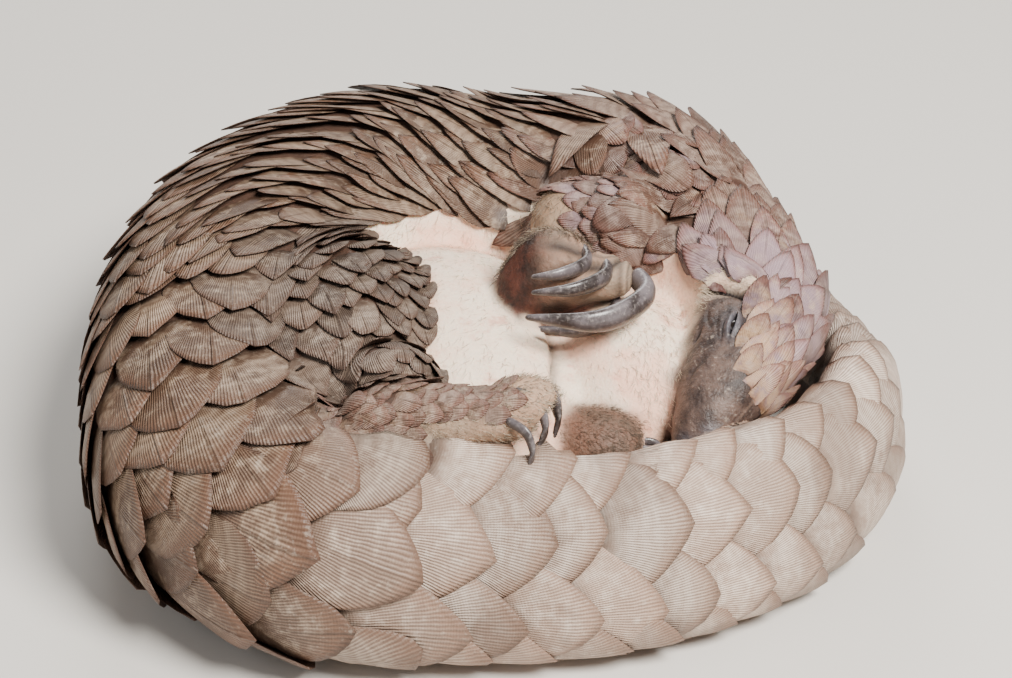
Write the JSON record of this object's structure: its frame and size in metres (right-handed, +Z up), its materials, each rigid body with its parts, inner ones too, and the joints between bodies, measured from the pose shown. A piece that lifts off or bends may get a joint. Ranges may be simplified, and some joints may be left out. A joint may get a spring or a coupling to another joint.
{
  "type": "pangolin model",
  "caption": "Life-size pangolin lying curled on its left side, broad tail wrapped round the front, pale belly and folded clawed limbs inside the curl.",
  "frame": {"origin": "on the floor, under the middle of the bounding box", "axes": "+X to the right of the picture, towards the head's outer side; +Y away from the viewer, towards the shoulders; +Z up, the animal's right flank"},
  "size_m": [0.2814, 0.2582, 0.0998],
  "materials": {
    "horn": "scales of horn, brown with pale streaks",
    "hide": "bare soft skin, pale and slightly pink",
    "claw": "smooth dark horn",
    "eye": "wet black"
  },
  "bodies": {
    "root": {"belly": "hide", "chest": "horn", "claw_fore_left_1": "claw", "claw_fore_left_2": "claw", "claw_fore_left_3": "claw", "claw_fore_left_4": "claw", "claw_fore_left_5": "claw", "claw_fore_right_1": "claw", "claw_fore_right_2": "claw", "claw_fore_right_3": "claw", "claw_fore_right_4": "claw", "claw_fore_right_5": "claw", "claw_hind_left_1": "claw", "claw_hind_left_2": "claw", "claw_hind_left_3": "claw", "claw_hind_left_4": "claw", "claw_hind_right_1": "claw", "claw_hind_right_2": "claw", "claw_hind_right_3": "claw", "claw_hind_right_4": "claw", "ear_left": "hide", "ear_right": "hide", "eye_left": "eye", "eye_right": "eye", "forearm_left": "horn", "forearm_right": "horn", "forefoot_left": "hide", "forefoot_right": "hide", "head": "horn", "hindfoot_left": "hide", "hindfoot_right": "hide", "hips": "horn", "loin": "horn", "neck": "horn", "shin_left": "horn", "shin_right": "horn", "tail_1": "horn", "tail_2": "horn", "tail_3": "horn", "tail_4": "horn", "tail_5": "horn", "thigh_left": "horn", "thigh_right": "horn", "throat": "hide", "upper_arm_left": "horn", "upper_arm_right": "horn"}
  },
  "joints": []
}
